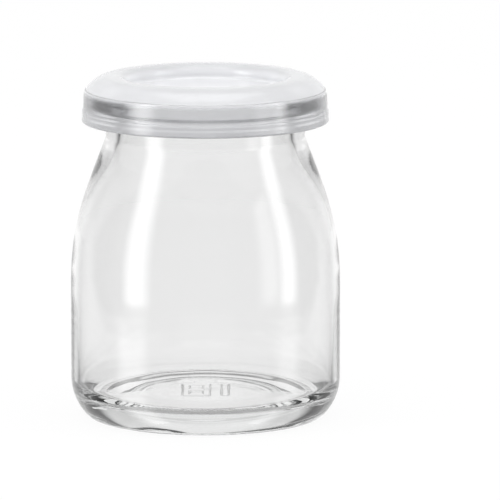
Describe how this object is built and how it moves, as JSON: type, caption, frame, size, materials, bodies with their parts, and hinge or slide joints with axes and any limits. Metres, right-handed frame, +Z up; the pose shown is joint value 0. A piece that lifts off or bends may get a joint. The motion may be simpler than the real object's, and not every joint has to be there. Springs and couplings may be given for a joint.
{
  "type": "yogurt jar with snap lid",
  "caption": "Small round glass jar for a single portion of yogurt, with a wide lip, a thick rounded base and a translucent press-on plastic lid.",
  "frame": {"origin": "centre of the ring that the jar stands on", "axes": "+Z up along the jar's axis, through the middle of the lid; X and Y are alike on this turned shape, and the mould number under the base reads along X"},
  "size_m": [0.0684, 0.0684, 0.0871],
  "materials": {
    "jar_glass": "clear pressed glass",
    "lid_plastic": "translucent satin"
  },
  "bodies": {
    "jar": {"glass_jar": "jar_glass"},
    "lid": {"snap_lid": "lid_plastic"}
  },
  "joints": [
    {"name": "lid_lift", "type": "slide", "parent": "jar", "child": "lid", "axis": [0, 0, 1], "range_m": [0, 0.03]}
  ]
}
